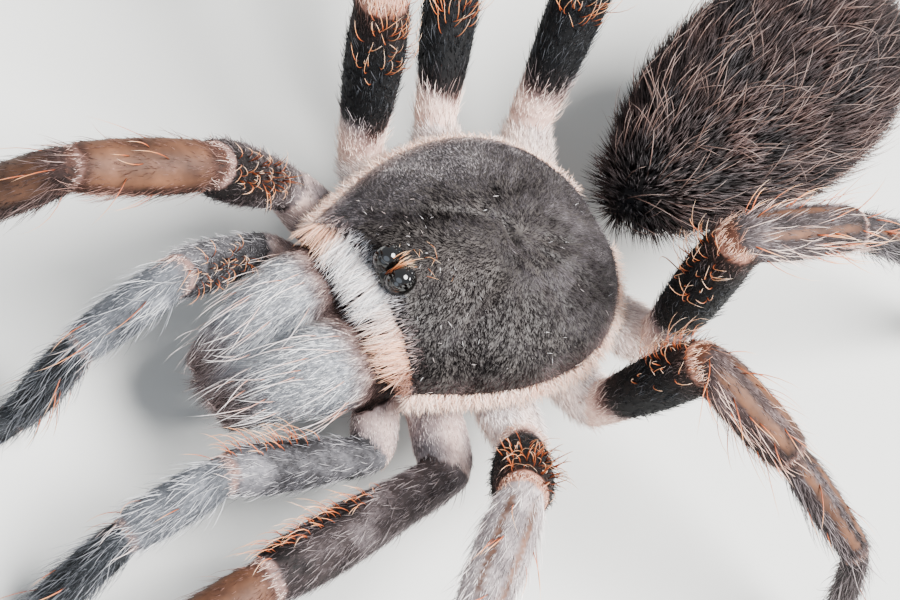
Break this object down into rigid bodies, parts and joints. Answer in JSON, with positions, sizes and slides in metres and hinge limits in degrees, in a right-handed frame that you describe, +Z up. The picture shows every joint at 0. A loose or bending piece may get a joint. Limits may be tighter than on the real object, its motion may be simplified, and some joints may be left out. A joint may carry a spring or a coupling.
{
  "type": "tarantula",
  "caption": "Life-size still model of a hairy ground tarantula, standing with its front and rear legs reached out and its feet flat on the floor.",
  "frame": {"origin": "middle of the footprint, on the floor the feet stand on", "axes": "+Z up, the animal faces -Y, its left side is +X"},
  "size_m": [0.0902, 0.118, 0.0286],
  "materials": {
    "carapace": "charcoal grey shell under a short grey-brown pile",
    "underbody": "pale pinkish-grey velvet hair",
    "abdomen": "near-black velvet with long reddish hairs",
    "chelicera": "grey pile with long pale pink hairs",
    "limb": "grey-brown pile with bare brown stripes and cream collars",
    "femur": "black-brown pile with orange hairs near the knee",
    "mound": "glossy black shell",
    "spinneret": "dark brown velvet",
    "fang": "glossy black horn",
    "eye": "polished black"
  },
  "bodies": {
    "root": {"carapace": "carapace", "underbody": "underbody", "abdomen": "abdomen", "eye_mound": "mound", "eye_front_middle_left": "eye", "eye_front_side_left": "eye", "eye_rear_side_left": "eye", "eye_rear_middle_left": "eye", "chelicera_left": "chelicera", "fang_left": "fang", "spinneret_left": "spinneret", "palp_left_femur": "femur", "palp_left_patella": "limb", "palp_left_tibia": "limb", "palp_left_tarsus": "limb", "leg1_left_femur": "femur", "leg1_left_patella": "limb", "leg1_left_tibia": "limb", "leg1_left_foot": "limb", "leg2_left_femur": "femur", "leg2_left_patella": "limb", "leg2_left_tibia": "limb", "leg2_left_foot": "limb", "leg3_left_femur": "femur", "leg3_left_patella": "limb", "leg3_left_tibia": "limb", "leg3_left_foot": "limb", "leg4_left_femur": "femur", "leg4_left_patella": "limb", "leg4_left_tibia": "limb", "leg4_left_foot": "limb", "eye_front_middle_right": "eye", "eye_front_side_right": "eye", "eye_rear_side_right": "eye", "eye_rear_middle_right": "eye", "chelicera_right": "chelicera", "fang_right": "fang", "spinneret_right": "spinneret", "palp_right_femur": "femur", "palp_right_patella": "limb", "palp_right_tibia": "limb", "palp_right_tarsus": "limb", "leg1_right_femur": "femur", "leg1_right_patella": "limb", "leg1_right_tibia": "limb", "leg1_right_foot": "limb", "leg2_right_femur": "femur", "leg2_right_patella": "limb", "leg2_right_tibia": "limb", "leg2_right_foot": "limb", "leg3_right_femur": "femur", "leg3_right_patella": "limb", "leg3_right_tibia": "limb", "leg3_right_foot": "limb", "leg4_right_femur": "femur", "leg4_right_patella": "limb", "leg4_right_tibia": "limb", "leg4_right_foot": "limb"}
  },
  "joints": []
}
